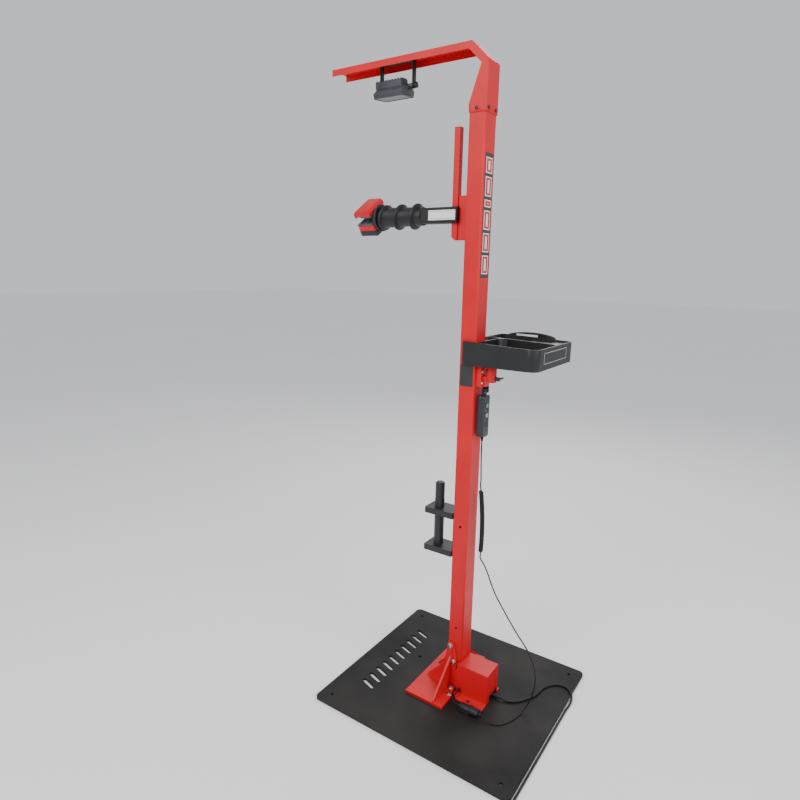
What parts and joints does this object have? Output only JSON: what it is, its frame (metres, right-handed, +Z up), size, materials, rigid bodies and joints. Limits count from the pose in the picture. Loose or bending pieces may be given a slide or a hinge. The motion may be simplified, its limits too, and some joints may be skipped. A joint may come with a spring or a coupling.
{
  "type": "bicycle lift",
  "caption": "Free-standing electric bicycle lift: heavy base plate, slotted column with belt-driven carriage, turning clamp head on an arm, lamp on a top arm, tool tray and wired hand control.",
  "frame": {"origin": "on the floor under the column's axis, on the base plate's underside", "axes": "+Z up along the column, -Y forward along the clamp arm, +X to the side where the control box reaches furthest"},
  "size_m": [0.874, 1.0682, 2.189],
  "materials": {
    "red_paint": "semi-gloss powder coat",
    "black_paint": "satin powder coat",
    "steel": "zinc plated",
    "grey_metal": "machined",
    "black_metal": "anodised black",
    "black_plastic": "fine grain",
    "dark_plastic": "fine grain",
    "board_green": "solder resist",
    "led_white": "white",
    "lens": "frosted",
    "black_rubber": "matt",
    "grey_rubber": "matt",
    "cord_black": "satin",
    "label_white": "printed film",
    "button_green": "moulded",
    "button_grey": "moulded"
  },
  "bodies": {
    "stand": {"base_plate": "black_paint", "foot_bracket": "red_paint", "foot_bolts": "steel", "cheek_bolts": "steel", "column": "red_paint", "hood_arm": "red_paint", "panel_screws": "steel", "top_bracket": "steel", "lifting_belt": "black_rubber", "gearmotor": "grey_metal", "power_supply": "grey_metal", "control_board": "board_green", "control_box": "red_paint", "cord_glands": "black_plastic", "stop_blocks": "steel", "stop_buffers": "black_rubber", "limit_switches": "black_plastic", "lamp_bracket": "black_paint", "tray_bracket": "red_paint", "tray_bracket_bolts": "steel", "handset_hook": "black_plastic", "handset_front": "dark_plastic", "handset_back": "dark_plastic", "handset_relief": "black_rubber", "pendant_lead": "cord_black", "pendant_curl": "cord_black", "pendant_tail": "cord_black", "pendant_plug": "black_plastic", "pendant_socket": "black_plastic", "socket_lead": "cord_black", "mains_cord": "cord_black", "mains_coil": "cord_black", "mains_plug": "black_plastic", "accessory_holder": "black_metal"},
    "carriage": {"slider_block": "grey_metal", "belt_clamp": "steel", "carriage_bar": "red_paint", "arm_tube": "black_paint", "arm_bolts": "steel", "arm_label": "label_white"},
    "drive_pulley_body": {"drive_pulley": "grey_metal"},
    "top_pulley_body": {"top_pulley": "grey_metal"},
    "upper_rollers": {"roller_pair_upper": "black_plastic"},
    "lower_rollers": {"roller_pair_lower": "black_plastic"},
    "head": {"head_core": "black_metal", "fixed_jaw": "red_paint", "fixed_pad": "grey_rubber"},
    "grip": {"grip_sleeve": "black_plastic"},
    "jaw": {"moving_jaw": "red_paint", "moving_pad": "grey_rubber"},
    "lamp": {"lamp_housing": "black_plastic", "lamp_lens": "lens", "lamp_board": "led_white", "lamp_knobs": "black_plastic"},
    "tray_body": {"tray": "black_plastic", "tray_post": "steel"},
    "tray_lever": {"tray_lock_lever": "steel"},
    "up_button": {"button_up": "button_green"},
    "down_button": {"button_down": "button_grey"}
  },
  "joints": [
    {"name": "lift", "type": "slide", "parent": "stand", "child": "carriage", "axis": [0, 0, 1], "range_m": [-0.82, 0.15]},
    {"name": "drive_pulley_spin", "type": "hinge", "parent": "stand", "child": "drive_pulley_body", "pos_m": [0, 0.01, 0.07], "axis": [0, 1, 0], "range_deg": [-530, 2870]},
    {"name": "top_pulley_spin", "type": "hinge", "parent": "stand", "child": "top_pulley_body", "pos_m": [0, 0.01, 1.975], "axis": [0, 1, 0], "range_deg": [-530, 2870]},
    {"name": "upper_roller_spin", "type": "hinge", "parent": "carriage", "child": "upper_rollers", "pos_m": [0, -0.0157, 1.735], "axis": [1, 0, 0], "range_deg": [-5225, 960]},
    {"name": "lower_roller_spin", "type": "hinge", "parent": "carriage", "child": "lower_rollers", "pos_m": [0, 0.0157, 1.637], "axis": [1, 0, 0], "range_deg": [-960, 5225]},
    {"name": "head_turn", "type": "hinge", "parent": "carriage", "child": "head", "pos_m": [0, -0.204, 1.696], "axis": [0, 1, 0], "continuous": true},
    {"name": "grip_turn", "type": "hinge", "parent": "head", "child": "grip", "pos_m": [0, -0.29, 1.696], "axis": [0, 1, 0], "range_deg": [-470, 470]},
    {"name": "jaw_slide", "type": "slide", "parent": "head", "child": "jaw", "axis": [0.5446, 0, 0.8387], "range_m": [-0.016, 0.016]},
    {"name": "lamp_tilt", "type": "hinge", "parent": "stand", "child": "lamp", "pos_m": [-0.012, -0.327, 2.108], "axis": [0, 1, 0], "range_deg": [-40, 30]},
    {"name": "tray_slide", "type": "slide", "parent": "stand", "child": "tray_body", "axis": [0, 0, 1], "range_m": [0, 0.03]},
    {"name": "tray_lever_turn", "type": "hinge", "parent": "stand", "child": "tray_lever", "pos_m": [0, 0.1, 1.178], "axis": [0, 1, 0], "range_deg": [-50, 50]},
    {"name": "up_button_press", "type": "slide", "parent": "stand", "child": "up_button", "axis": [0, -1, 0], "range_m": [0, 0.0015], "stiffness_N_per_m": 800, "springref_m": -0.001},
    {"name": "down_button_press", "type": "slide", "parent": "stand", "child": "down_button", "axis": [0, -1, 0], "range_m": [0, 0.0015], "stiffness_N_per_m": 800, "springref_m": -0.001}
  ],
  "couplings": [
    {"joint": "drive_pulley_spin", "follows": "lift", "rad_per_m": -60.976},
    {"joint": "top_pulley_spin", "follows": "lift", "rad_per_m": -60.976},
    {"joint": "upper_roller_spin", "follows": "lift", "rad_per_m": 111.11},
    {"joint": "lower_roller_spin", "follows": "lift", "rad_per_m": -111.11},
    {"joint": "jaw_slide", "follows": "grip_turn", "m_per_rad": 0.0019099}
  ]
}
